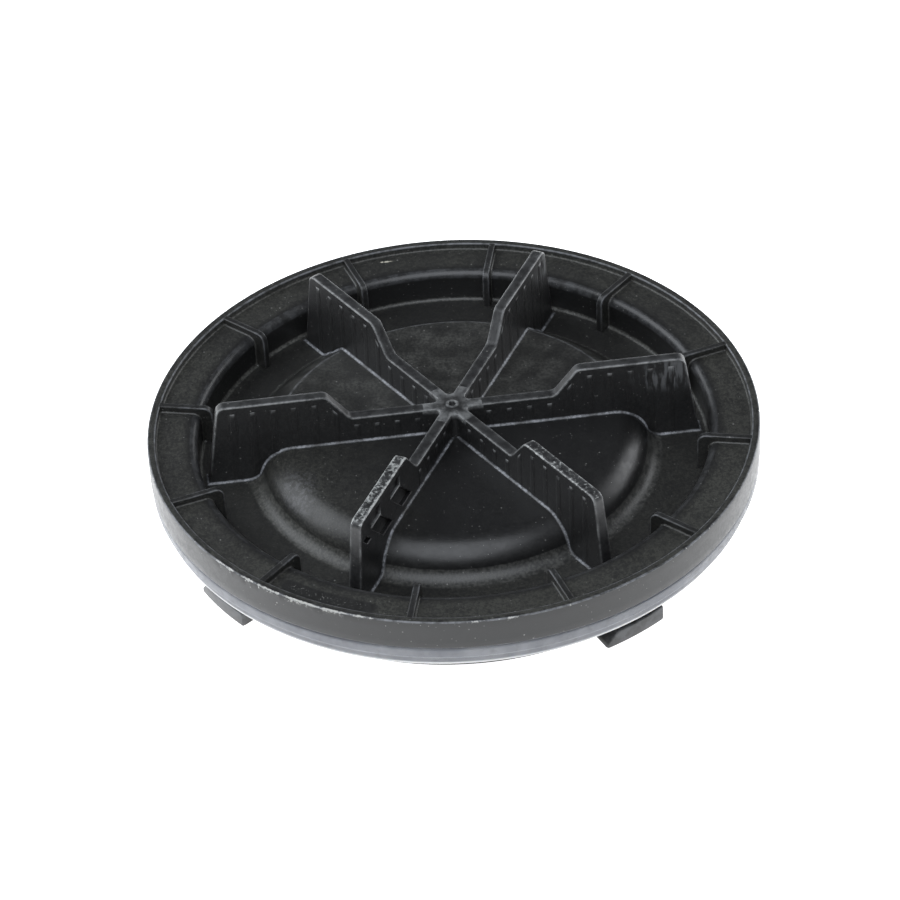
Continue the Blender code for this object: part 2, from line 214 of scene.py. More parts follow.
class Finish:
    def __init__(self, name):
        self.material = bpy.data.materials.new(name)
        self.material.use_nodes = True
        self.tree = self.material.node_tree
        self.shader = self.tree.nodes["Principled BSDF"]
        self.place = self.add("TexCoord").outputs["Object"]

    def add(self, kind, **settings):
        node = self.tree.nodes.new("ShaderNode" + kind)
        for setting, value in settings.items():
            setattr(node, setting, value)
        return node

    def join(self, source, target):
        if isinstance(source, (int, float)):
            target.default_value = source
        elif isinstance(source, tuple):
            target.default_value = (*source, 1.0) if target.type == "RGBA" else source
        else:
            self.tree.links.new(source, target)

    def give(self, socket, source):
        self.join(source, self.shader.inputs[socket])

    def maths(self, operation, a, b=0.0):
        node = self.add("Math", operation=operation)
        self.join(a, node.inputs[0])
        self.join(b, node.inputs[1])
        return node.outputs[0]

    def times(self, a, b):
        return self.maths("MULTIPLY", a, b)

    def mark(self, name):
        return self.add("Attribute", attribute_name=name).outputs["Fac"]

    def cloud(self, size, detail, rough, stretch=None):
        # size is the width of a blotch in millimetres
        node = self.add("TexNoise")
        node.inputs["Scale"].default_value = 1 / (size * mm)
        node.inputs["Detail"].default_value = detail
        node.inputs["Roughness"].default_value = rough
        place = self.place
        if stretch:
            mapping = self.add("Mapping")
            mapping.inputs["Scale"].default_value = stretch
            self.join(place, mapping.inputs["Vector"])
            place = mapping.outputs["Vector"]
        self.join(place, node.inputs["Vector"])
        return node.outputs["Fac"]

    def step(self, value, low, high, least=0.0, most=1.0):
        node = self.add("MapRange", interpolation_type="SMOOTHSTEP")
        self.join(value, node.inputs["Value"])
        sockets = ("From Min", "From Max", "To Min", "To Max")
        for socket, number in zip(sockets, (low, high, least, most)):
            node.inputs[socket].default_value = number
        return node.outputs["Result"]

    def specks(self, size, reach, share):
        # small round grains, in a share of the cells
        cells = self.add("TexVoronoi")
        cells.inputs["Scale"].default_value = 1 / (size * mm)
        self.join(self.place, cells.inputs["Vector"])
        grain = self.step(cells.outputs["Distance"], reach, reach * 0.5)
        apart = self.add("SeparateColor")
        self.join(cells.outputs["Color"], apart.inputs[0])
        chosen = self.maths("GREATER_THAN", apart.outputs[0], 1 - share)
        return self.times(grain, chosen)

    def near(self, place, reach, share):
        # a soft oval patch round one place; place and reach are in millimetres
        off = self.add("VectorMath", operation="SUBTRACT")
        self.join(self.place, off.inputs[0])
        off.inputs[1].default_value = Vector(place) * mm
        scaled = self.add("VectorMath", operation="DIVIDE")
        self.join(off.outputs[0], scaled.inputs[0])
        scaled.inputs[1].default_value = Vector(reach) * mm
        length = self.add("VectorMath", operation="LENGTH")
        self.join(scaled.outputs[0], length.inputs[0])
        return self.step(length.outputs["Value"], 1.0, 0.45, 0.0, share)

    def blend(self, share, first, second):
        node = self.add("Mix", data_type="RGBA")
        self.join(share, node.inputs[0])
        self.join(first, node.inputs[6])
        self.join(second, node.inputs[7])
        return node.outputs[2]

    def bump(self, height, depth, strength, under=None):
        node = self.add("Bump")
        node.inputs["Strength"].default_value = strength
        node.inputs["Distance"].default_value = depth * mm
        self.join(height, node.inputs["Height"])
        if under is not None:
            self.join(under, node.inputs["Normal"])
        return node.outputs["Normal"]


# smears are (place, reach, tone, share), in millimetres
plastic = {
    "cover": {
        "base": (0.0085, 0.0085, 0.0088), "film": (0.0390, 0.0390, 0.0335),
        "dustyAndHighlight": (0.145, 0.145, 0.132), "wornAndHighlight": (0.180, 0.187, 0.200), "skirt": (0.010, 0.010, 0.0095),
        "scuffed": (0.38, 0.38, 0.36), "speck": (0.19, 0.19, 0.18),
        "rough": 0.34, "dustRough": 0.55, "wearAndHighlightShare": 0.60, "crumb": 0.42,
        "smears": [((-7.2, 56.1, 16.3), (1.9, 0.34, 0.8), (0.50, 0.48, 0.40), 0.9),
                   ((-32.0, -14.0, 15.0), (5.5, 8.0, 3.0), (0.10, 0.10, 0.105), 0.40)],
    },
    "grip": {
        # the grip's dust colour only reaches its base fillets: partly dust, partly a painted bluish
        # highlight along the base line
        "base": (0.0085, 0.0085, 0.0090), "film": (0.0270, 0.0270, 0.0262),
        "dustyAndHighlight": (0.26, 0.27, 0.29), "wornAndHighlight": (0.215, 0.220, 0.220), "skirt": (0.0070, 0.0070, 0.0076),
        "scuffed": (0.34, 0.35, 0.34), "speck": (0.18, 0.18, 0.17),
        "rough": 0.34, "dustRough": 0.50, "wearAndHighlightShare": 0.70, "crumb": 0.85,
        "smears": [((42.5, -1.3, 24.2), (8.5, 1.6, 4.8), (0.13, 0.135, 0.14), 0.55),
                   ((23.0, 37.5, 24.5), (3.2, 5.0, 4.5), (0.15, 0.155, 0.155), 0.7)],
    },
}


# widths of the plastic's blotches and relief, in millimetres
blotches = {
    "broad": 17.0, "middle": 2.2, "fine": 0.30, "mottle": 0.55, "streak": 0.9,
    "grain": 1.5, "smallGrain": 0.7, "wave": 7.0,
    "waveDepth": 0.04, "dentDepth": 0.02, "grainDepth": 0.012,
}


def blackPlastic(name, tones):
    # satin black moulded plastic with dust in its corners and worn edges, the same marks also painting
    # highlights on the grip's base fillets, the pocket ledges and the rear crest, and shade on the seal;
    # the zone mark is 1 on the skirt's outer face and rises towards 2 where an edge is knocked white or
    # roughened
    looks = Finish(name)
    wearAndHighlight, dustAndPaintedLight, zone, matt = [looks.mark(mark) for mark in markNames]
    broad = looks.cloud(blotches["broad"], 3.0, 0.55)
    middle = looks.cloud(blotches["middle"], 5.0, 0.65)
    fine = looks.cloud(blotches["fine"], 3.0, 0.6)
    crumbs = looks.cloud(tones["crumb"], 4.0, 0.7)
    mottle = looks.cloud(blotches["mottle"], 2.0, 0.5)

    # a thin film of dust, thickest where the matt mark is high
    film = looks.times(looks.step(broad, 0.34, 0.64, 0.55, 0.95), looks.step(fine, 0.36, 0.62, 0.35, 1.1))
    film = looks.times(film, looks.step(mottle, 0.38, 0.62, 0.55, 1.35))
    film = looks.times(film, looks.maths("ADD", matt, 0.08))
    colour = looks.blend(film, tones["base"], tones["film"])

    # more dust in the corners, which on the grip's base fillets is also a painted bluish highlight, and
    # the cleaner skirt
    corner = looks.times(dustAndPaintedLight, looks.step(middle, 0.32, 0.60, 0.45, 1.1))
    corner = looks.times(corner, looks.step(mottle, 0.38, 0.62, 0.55, 1.2))
    colour = looks.blend(corner, colour, tones["dustyAndHighlight"])
    outer = looks.step(zone, 0.3, 0.9)
    colour = looks.blend(outer, colour, tones["skirt"])

    # worn edges, with painted highlights on the pocket ledges and the rear crest, then ragged knocks
    edge = looks.times(wearAndHighlight, looks.step(middle, 0.36, 0.62, 0.25, 1.2))
    colour = looks.blend(looks.times(edge, tones["wearAndHighlightShare"]), colour, tones["wornAndHighlight"])
    ragged = looks.times(looks.maths("SUBTRACT", crumbs, 0.5), 2.0)
    knocked = looks.maths("ADD", looks.maths("SUBTRACT", zone, 1.0), ragged)
    colour = looks.blend(looks.step(knocked, 0.40, 0.72), colour, tones["scuffed"])

    # loose grains, then a few streaky smears
    grains = looks.maths("MAXIMUM", looks.specks(blotches["grain"], 0.14, 0.26),
                         looks.specks(blotches["smallGrain"], 0.18, 0.20))
    grains = looks.times(grains, looks.step(middle, 0.40, 0.62, 0.1, 0.9))
    colour = looks.blend(grains, colour, tones["speck"])
    streaks = looks.cloud(blotches["streak"], 3.0, 0.6, stretch=(1.0, 1.0, 0.16))
    streaks = looks.step(streaks, 0.44, 0.60)
    for place, reach, tone, share in tones["smears"]:
        smear = looks.times(looks.near(place, reach, share), streaks)
        colour = looks.blend(smear, colour, tone)
    looks.give("Base Color", colour)

    rough = looks.step(middle, 0.25, 0.75, tones["rough"] - 0.04, tones["rough"] + 0.07)
    rough = looks.maths("ADD", rough, looks.step(mottle, 0.36, 0.64, -0.02, 0.02))
    rough = looks.maths("ADD", rough, looks.times(corner, tones["dustRough"] - tones["rough"]))
    rough = looks.maths("ADD", rough, looks.times(matt, 0.07))
    looks.give("Roughness", rough)

    waves = looks.bump(looks.cloud(blotches["wave"], 2.0, 0.5), blotches["waveDepth"], 0.4)
    dents = looks.bump(middle, blotches["dentDepth"], 0.3, waves)
    grain = looks.bump(fine, blotches["grainDepth"], 0.5, dents)
    looks.give("Normal", grain)
    return looks.material


sealFinish = {
    "base": (0.115, 0.12, 0.132), "pale": (0.165, 0.17, 0.18), "stain": (0.09, 0.09, 0.095),
    "lip": (0.50, 0.50, 0.49), "paintedShade": (0.02, 0.02, 0.02), "broad": 9.0, "middle": 1.6,
    "stainShare": 0.45, "roughFrom": 0.28, "roughTo": 0.48, "dentDepth": 0.04,
    "glowShare": 0.3, "glowDepth": 1.6, "glowRadius": (0.8, 0.9, 1.2),
}


def sealRubber(name):
    # milky silicone, a little blue where the light comes through
    looks = Finish(name)
    broad = looks.cloud(sealFinish["broad"], 4.0, 0.6)
    middle = looks.cloud(sealFinish["middle"], 4.0, 0.6)
    colour = looks.blend(looks.step(broad, 0.35, 0.65), sealFinish["base"], sealFinish["pale"])
    stain = looks.times(looks.step(middle, 0.52, 0.72), sealFinish["stainShare"])
    colour = looks.blend(stain, colour, sealFinish["stain"])
    colour = looks.blend(looks.mark("zone"), colour, sealFinish["lip"])
    # painted shade: a dark band along the lip's lower edge at the front, carried by the dust mark
    colour = looks.blend(looks.mark("dustAndPaintedLight"), colour, sealFinish["paintedShade"])
    looks.give("Base Color", colour)
    rough = looks.step(middle, 0.3, 0.7, sealFinish["roughFrom"], sealFinish["roughTo"])
    looks.give("Roughness", rough)
    looks.give("Subsurface Weight", sealFinish["glowShare"])
    looks.give("Subsurface Radius", sealFinish["glowRadius"])
    looks.give("Subsurface Scale", sealFinish["glowDepth"] * mm)
    looks.give("Normal", looks.bump(middle, sealFinish["dentDepth"], 0.4))
    return looks.material


coverPlastic = blackPlastic("coverPlastic", plastic["cover"])
gripPlastic = blackPlastic("gripPlastic", plastic["grip"])
sealSilicone = sealRubber("sealSilicone")
print("finishes made")


# Cover shell: a lathe of two halves, with the low cone at the back and the half moon in front

shell = {
    "spigotRadius": 52.2, "spigotWall": 1.9, "spigotChamfer": 0.5,
    "lipWidth": 1.6, "lipEdge": 0.34, "skirtDepth": 6.5, "skirtFoot": 0.3,
    "wall": 2.0, "cellDepth": 1.4, "troughDepth": 8.2, "crestRound": 1.6, "troughRound": 0.7,
    "lipCorner": 0.35, "middleHole": 0.02,
    "columnsPerHalf": 300, "joinHalfWidth": 0.75, "joinInner": 1.6, "spacing": 1.9,
    "rear": {"depth": 2.4, "trough": 8.3, "slope": 6.9, "shoulder": 1.0, "foot": 1.6},
    "bulge": {"depth": 1.5, "trough": 11.6, "slope": 2.3, "shoulder": 6.6, "foot": 3.3},
}

wallRadius = shell["spigotRadius"] - shell["spigotWall"]
lipRadius = outerRadius - shell["lipWidth"]
cellLevel = rimLevel - shell["cellDepth"]
troughLevel = rimLevel - shell["troughDepth"]
skirtLevel = rimLevel - shell["skirtDepth"]
flangeUnder = cellLevel - shell["wall"]


def crownCorners(crown):
    level, foot = rimLevel - crown["depth"], wallRadius - crown["trough"]
    return [(shell["middleHole"], level, 0, 1), (foot - crown["slope"], level, crown["shoulder"], 12),
            (foot, troughLevel, crown["foot"], 8)]


rearCorners = crownCorners(shell["rear"])
bulgeCorners = crownCorners(shell["bulge"])


def shellTop(crown):
    return roundedLine(crown + [
        (wallRadius, troughLevel, shell["troughRound"], 5),
        (wallRadius, cellLevel, shell["crestRound"], 8),
        (lipRadius, cellLevel, shell["lipCorner"], 4),
        (lipRadius, rimLevel, shell["lipEdge"], 4),
        (outerRadius, rimLevel, shell["lipEdge"], 4),
        (outerRadius, skirtLevel, shell["skirtFoot"], 3),
        (lipRadius, skirtLevel, 0, 1),
    ])


def shellUnder(crown):
    (_, level, _, _), (edge, _, shoulder, _), (foot, _, fillet, _) = crown
    slope = math.atan2(level - troughLevel, foot - edge)
    back = shell["wall"] * math.tan(slope / 2)
    floor = troughLevel - shell["wall"]
    return roundedLine([
        (lipRadius, skirtLevel, 0, 1),
        (lipRadius, flangeUnder, 0.3, 3),
        (shell["spigotRadius"], flangeUnder, 0.3, 3),
        (shell["spigotRadius"], 0.0, shell["spigotChamfer"], 4),
        (wallRadius, 0.0, 0.3, 3),
        (wallRadius, floor, 0.5, 3),
        (foot - back, floor, fillet + shell["wall"], 5),
        (edge - back, level - shell["wall"], max(shoulder - shell["wall"], 0.5), 6),
        (shell["middleHole"], level - shell["wall"], 0, 1),
    ])[1:]


rearTop = shellTop(rearCorners)
bulgeTop = shellTop(bulgeCorners)


def bendMarks(line):
    # (wear, dust): wear for proud corners and dust for hollow ones, from how sharply the line bends
    marks = []
    for i, point in enumerate(line):
        if i in (0, len(line) - 1):
            marks.append((0.0, 0.0))
            continue
        before, after = point - line[i - 1], line[i + 1] - point
        bend = math.atan2(before.cross(after), before.dot(after))
        perMm = bend / max(0.5 * (before.length + after.length), 0.05)
        marks.append((clamped(-perMm * 0.6 - 0.2), clamped(perMm * 1.1 - 0.1)))
    return marks


def makeCoverShell():
    rear, bulge = filledIn([rearTop + shellUnder(rearCorners), bulgeTop + shellUnder(bulgeCorners)],
                           shell["spacing"])
    topCount = next(k for k, point in enumerate(rear) if point.y < skirtLevel + 0.01)
    sides = [(rear, bendMarks(rear), 0.0), (bulge, bendMarks(bulge), math.pi)]
    shape = newShape()
    rings = []
    for line, marks, start in sides:
        for step in range(shell["columnsPerHalf"] + 1):
            along = step / shell["columnsPerHalf"]
            ring = []
            for k, point in enumerate(line):
                # the end columns stay a fixed distance off the line between the halves
                margin = math.asin(min(0.5, shell["joinHalfWidth"] / max(point.x, shell["joinInner"])))
                angle = start + margin + (math.pi - 2 * margin) * along
                ring.append(shellPoint(shape, point, marks[k], angle, k < topCount))
            rings.append(ring)
    for i, ring in enumerate(rings):
        joinLoops(shape, ring, rings[(i + 1) % len(rings)], closed=False)
    for end in (0, -1):
        rim = [ring[end] for ring in rings]
        shape["faces"].append(tuple(rim if end else reversed(rim)))
    addGateBoss(shape, rear[-1].y)
    return makePiece("coverShell", shape, coverPlastic, ["cover_shell"])


gateBoss = {
    "columns": 48,
    # (radius, how far below the underside)
    "profile": ((0.3, -1.6), (2.4, -1.6), (2.4, 0.05), (2.25, 0.2), (1.0, 0.2), (0.8, 0.1), (0.2, 0.1)),
}


def addGateBoss(shape, level):
    # a small round moulding boss under the middle, where the two halves meet
    rings = []
    for radius, drop in gateBoss["profile"]:
        ring = []
        for step in range(gateBoss["columns"]):
            angle = math.tau * step / gateBoss["columns"]
            place = (radius * math.cos(angle), radius * math.sin(angle), level - drop)
            ring.append(addPoint(shape, place))
        rings.append(ring)
    closeTube(shape, rings)


knocks = {"from": 211, "to": 249, "fade": 5, "depth": 0.4, "noiseRadius": 36, "noiseLevel": 1.7,
          "reach": 0.26, "hardReach": 0.22}
roughPatch = {"from": 227, "to": 250, "inner": 54.2, "outer": 57.6,
              "tone": 1.24, "rise": 0.12, "grain": 1.1}
shellDust = {"cellFilm": 1.15, "crownFilm": 0.55, "lessAtBack": 0.35, "crestWidth": 1.9,
             "crestFilm": 0.15, "bulgeFilm": 0.75, "bulgeFrom": 6, "bulgeSpan": 26,
             "under": 0.3, "patchGrain": 0.26, "patchShare": 0.22}


def knockLip(radius, level, zone, angle):
    # small knocks along the lip's outer edge, a ragged white line at the front left
    degrees = math.degrees(angle) % 360
    inside = clamped((degrees - knocks["from"]) / knocks["fade"])
    inside *= clamped((knocks["to"] - degrees) / knocks["fade"])
    around = knocks["noiseRadius"]
    spot = Vector((math.cos(angle) * around, math.sin(angle) * around, knocks["noiseLevel"]))
    chip = noise.noise(spot * 0.9) + 0.6 * noise.noise(spot * 2.3)
    hit = clamped(0.10 + 0.9 * chip + 0.75 * inside)
    off = max(outerRadius - radius, rimLevel - level)
    near = clamped(1.2 - off / (knocks["reach"] + knocks["hardReach"] * hit))
    depth = knocks["depth"] * inside * clamped(hit * 1.4 - 0.5) * near ** 2
    level -= depth * 0.6
    radius -= depth * 0.7 if radius > outerRadius - 0.4 else 0.0
    if near > 0 and (level < rimLevel - 0.03 or hit > 0.3):
        zone = max(zone, 1.0 + hit * near)
    return radius, level, zone


def shellPoint(shape, point, marks, angle, onTop):
    radius, level = point
    wearAndHighlight, dustAndPaintedLight = marks
    degrees = math.degrees(angle) % 360
    zone = 0.0
    back = 0.5 + 0.5 * math.sin(angle)  # 0 at the front, 1 at the back
    matt = shellDust["cellFilm"] if radius > wallRadius else shellDust["crownFilm"]
    matt *= 1.0 - shellDust["lessAtBack"] * back
    if wallRadius - 0.1 < radius < wallRadius + shellDust["crestWidth"]:
        matt *= shellDust["crestFilm"]
        # the crest's wear mark grows towards the back: partly edge wear, partly a painted highlight along
        # the rear crest
        wearAndHighlight *= 0.6 + 0.7 * back
    onSkirt = radius > outerRadius - 0.4 and level > skirtLevel - 0.05
    if onSkirt and level < rimLevel - 0.03:
        zone = 1.0
        matt = 0.0
    if level > rimLevel - 1.2 and radius > outerRadius - 0.75:
        radius, level, zone = knockLip(radius, level, zone, angle)
    if radius < wallRadius - shell["bulge"]["trough"] + 2.0 and math.sin(angle) < 0:
        # the bulge has its film of dust on the left
        along = radius * math.cos(angle) + shellDust["bulgeFrom"]
        matt = shellDust["bulgeFilm"] * clamped(-along / shellDust["bulgeSpan"])
    elif not onTop:
        dustAndPaintedLight *= shellDust["under"]
    elif radius < wallRadius - 1.0:
        flat = Vector((radius * math.cos(angle), radius * math.sin(angle), 0))
        patch = clamped(0.45 + 1.5 * noise.noise(flat * shellDust["patchGrain"]))
        dustAndPaintedLight = max(dustAndPaintedLight * (0.55 + 0.45 * back), shellDust["patchShare"] * back * patch)
    onPatch = roughPatch["from"] < degrees < roughPatch["to"] and level > cellLevel - 0.3
    if onPatch and roughPatch["inner"] < radius < roughPatch["outer"]:
        # a roughened patch of the cell floor beside the knocked lip
        fade = clamped((degrees - roughPatch["from"]) / 2) * clamped((roughPatch["to"] - degrees) / 4)
        zone = max(zone, roughPatch["tone"] * fade)
        spot = Vector((radius, math.radians(degrees) * radius, 0)) * roughPatch["grain"]
        level += roughPatch["rise"] * fade * noise.noise(spot)
    place = (radius * math.cos(angle), radius * math.sin(angle), level)
    return addPoint(shape, place, wearAndHighlight, dustAndPaintedLight, zone, matt)


coverShell = makeCoverShell()
print("cover shell made:", len(coverShell.data.vertices), "points")


# Grip: six arms that meet in a small hub

grip = {
    "topHalf": 1.12, "draft": 0.7, "edge": 0.30, "cornerRound": 1.8, "sunk": 0.35, "innerEnd": 0.9,
    "highLength": 21.3, "stepRun": 4.5, "endRun": 2.7, "seatSteps": 60,
    "filletSize": 0.56, "filletFrom": 3.2, "filletSteps": 110,
    "endWear": 9.0, "lowWear": 0.72, "whitened": {5: 0.72, 6: 0.50},
}

armFoot = armHigh.x
armEnd = armFoot - grip["endRun"]
armTopLevel = armHigh.z
armLowLevel = hubHigh.z
draftSlope = math.tan(math.radians(grip["draft"]))


def armHalf(level):
    return grip["topHalf"] + (armTopLevel - level) * draftSlope


armTopLine = roundedLine([
    (grip["innerEnd"], armLowLevel, 0, 1),
    (armEnd - grip["highLength"] - grip["stepRun"], armLowLevel, grip["cornerRound"], 8),
    (armEnd - grip["highLength"], armTopLevel, grip["cornerRound"], 8),
    (armEnd, armTopLevel, grip["cornerRound"], 10),
    (armFoot, troughLevel, 0, 1),
])


plate = {"capInset": 0.06, "spineShare": 0.62, "spineWear": 0.12, "spineFilm": 0.15}


def roundedPlate(shape, outline, halfAt, edge, wearAt, holes=None, steps=4):
    # a plate in the radial plane with rounded edges; holes are pockets, as loops for each side
    loops = {}
    for side in (-1, 1):
        loops[side] = []
        for step in range(steps + 2):
            turn = math.pi / 2 * min(step, steps) / steps
            inset = edge * (1 - math.cos(turn)) + (plate["capInset"] if step > steps else 0.0)
            ring = []
            for point, base in zip(insetLoop(outline, inset), outline):
                y = halfAt(point.y) - edge * (1 - math.sin(turn))
                wearAndHighlight = wearAt(base) * max(0.0, math.sin(math.pi * (step + 0.8) / (steps + 1.8)))
                ring.append(addPoint(shape, (point.x, side * y, point.y), 0.0 if step > steps else wearAndHighlight))
            loops[side].append(ring)
        for first, second in zip(loops[side], loops[side][1:]):
            joinLoops(shape, *((first, second) if side < 0 else (second, first)))
        capPlate(shape, loops[side][-1], side, (holes or {}).get(side, []), halfAt)
    spine = {}
    for side in (-1, 1):
        spine[side] = []
        for p in outline:
            place = (p.x, side * plate["spineShare"] * (halfAt(p.y) - edge), p.y)
            wearAndHighlight = plate["spineWear"] * wearAt(p)
            spine[side].append(addPoint(shape, place, wearAndHighlight, matt=plate["spineFilm"]))
        joinLoops(shape, loops[side][0], spine[side])
    joinLoops(shape, spine[1], spine[-1])


# (how far outside the pocket's outline, depth or None for the pocket's own, share of the painted ledge
# highlight)
pocketRings = ((0.168, 0.0, 0.0), (0.0, 0.1, 1.0), (-0.07, None, 0.0))


def capPlate(shape, ring, side, holes, halfAt):
    # holes are (corners, depth, painted highlight along the upper edge, painted highlight along the lower
    # edge)
    outlines = [ring]
    for corners, depth, upperHighlight, lowerHighlight in holes:
        middle = sum(corners, Vector((0, 0))) / len(corners)
        rings = []
        for grow, sink, wearAndHighlight in pocketRings:
            made = []
            for number, corner in enumerate(corners):
                place = corner + (corner - middle).normalized() * grow
                mark = wearAndHighlight * (lowerHighlight if number in (1, 2) else upperHighlight)
                y = side * (halfAt(place.y) - (depth if sink is None else sink))
                # the pockets and slots get no dust film and stay darker than the side: painted shade in
                # the recesses
                made.append(addPoint(shape, (place.x, y, place.y), mark, matt=0.0))
            rings.append(made)
        for first, second in zip(rings, rings[1:]):
            joinLoops(shape, first, second)
        shape["faces"].append(tuple(rings[-1]))
        outlines.append(rings[0])
    indices = [i for outline in outlines for i in outline]
    places = shape["points"]
    flat = [[Vector((places[i].x, places[i].z, 0)) for i in outline] for outline in outlines]
    for triangle in tessellate_polygon(flat):
        corners = [indices[i] for i in triangle]
        shape["faces"].append(tuple(corners if side < 0 else reversed(corners)))


# Two pockets in one arm's side, a slanting slot below each, and a small slot near the arm's end
pockets = {
    "arm": 5, "from": 20.5, "inset": 9.2, "pitch": 9.1, "length": 4.5, "height": 2.6, "depth": 0.75,
    "bar": 0.40, "slotDrop": 5.0, "slotLean": 0.95, "slotDepth": 0.85,
    "lastInset": 4.8, "lastLength": 1.7, "lastDrop": 1.8,
}


def slotCorners(low, high, top, drop):
    lean = drop * pockets["slotLean"]
    bottom = top - drop
    places = ((low, top), (low - lean, bottom), (high - lean, bottom), (high, top))
    return [Vector(place) for place in places]


def pocketLoops():
    loops = []
    top = armTopLevel - ridges["drop"]
    bottom = top - pockets["height"]
    barFoot = bottom - pockets["bar"]
    for number in range(2):
        middle = armFoot - pockets["inset"] - pockets["pitch"] * number
        high = middle + pockets["length"] / 2
        low = high - pockets["length"]
        square = [Vector(place) for place in ((low, top), (low, bottom), (high, bottom), (high, top))]
        slot = slotCorners(low, high, barFoot, pockets["slotDrop"])
        # the bar between each pocket and its slot is painted light along both edges: a painted highlight
        # on the ledge
        loops.append((square, pockets["depth"], 0.3, 1.0))
        loops.append((slot, pockets["slotDepth"], 1.0, 0.0))
    low = armFoot - pockets["lastInset"]
    last = slotCorners(low, low + pockets["lastLength"], barFoot, pockets["lastDrop"])
    loops.append((last, pockets["slotDepth"], 1.0, 0.0))
    return loops


ridges = {
    "pitch": 4.0, "width": 1.5, "stand": 0.09, "drop": 1.6, "start": 7.0, "lift": 0.5,
    # (along, out) across a ridge, as shares of its half width and its stand
    "section": ((-1.0, -0.4), (-0.94, 0.15), (-0.72, 0.72), (-0.38, 0.97), (0.0, 1.0),
                (0.38, 0.97), (0.72, 0.72), (0.94, 0.15), (1.0, -0.4)),
    # (distance from the lower or the upper end, share of the stand)
    "lowerEnd": ((0.0, 0.1), (0.7, 1.0)),
    "upperEnd": ((0.8, 1.0), (0.35, 0.88), (0.1, 0.55), (0.0, 0.1)),
}


def addRidge(shape, radius, side, bottom, topAt):
    # an upright grip ridge with a round nose and a rounded upper end
    half = ridges["width"] / 2
    rows = [(off, share, False) for off, share in ridges["lowerEnd"]]
    rows += [(off, share, True) for off, share in ridges["upperEnd"]]
    rings = []
    for off, share, upper in rows:
        ring = []
        for along, out in ridges["section"]:
            r = radius + along * half
            z = topAt(r) - off if upper else bottom + off
            y = armHalf(z) + ridges["stand"] * (out * share if out > 0 else 1.5 * out)
            wearAndHighlight = clamped(1.3 - off / 0.4) if upper and abs(along) < 0.5 else 0.0
            ring.append(addPoint(shape, (r, side * y, z), wearAndHighlight))
        rings.append(ring)
    closeTube(shape, rings, flipped=side > 0)


# the bar's back is buried under the surface
filletBar = {"arcSteps": 5, "sink": 0.015, "under": 0.25, "behind": 0.3, "grain": (0.35, 3.0, 0.2)}


def addFillet(shape, path, size, mark=1.0):
    # path points are (place, sideways, upwards); the strip is a closed bar with a hollow face
    steps, sink = filletBar["arcSteps"], filletBar["sink"]
    under, behind = -filletBar["under"], -filletBar["behind"]
    grain = filletBar["grain"]
    rings = []
    for place, sideways, upwards in path:
        spot = Vector((place.x * grain[0], place.y * grain[1] + size * 40, place.z * grain[2]))
        patchy = clamped(0.70 + 0.9 * noise.noise(spot))
        section = []
        for step in range(steps + 1):
            turn = math.pi / 2 * step / steps
            out = size * (1 - math.cos(turn)) - sink
            up = size * (1 - math.sin(turn)) - sink
            # the mark peaks mid-hollow: dust, and on the grip arms also a painted highlight along the
            # base line
            dustyAndHighlight = mark * math.sin(2 * turn) ** 1.5 if 0 < step < steps else 0.0
            section.append((out, up, dustyAndHighlight))
        section += [(size, under, 0.0), (behind, under, 0.0), (behind, size, 0.0)]
        rings.append([
            addPoint(shape, place + sideways * out + upwards * up, dustAndPaintedLight=dustyAndHighlight * patchy)
            for out, up, dustyAndHighlight in section])
    closeTube(shape, rings)


def filletPath(sides):
    # out along one side of the arm, round its foot, and back along the other
    path = []
    inner, steps = grip["filletFrom"], grip["filletSteps"]
    for side, surface in sides:
        leg = []
        for step in range(steps + 1):
            r = inner + (armFoot - inner) * step / steps
            z = levelAt(surface, r)
            slope = (levelAt(surface, r + 0.15) - levelAt(surface, r - 0.15)) / 0.3
            upwards = Vector((-slope, 0.0, 1.0)).normalized()
            leg.append((Vector((r, side * (armHalf(z) - 0.01), z)), Vector((0, side, 0)), upwards))
        last = leg[-1]
        leg[-1] = (last[0], Vector((1.0, side, 0.0)), Vector((0, 0, 1)))
        path.extend(leg if not path else reversed(leg))
    return path


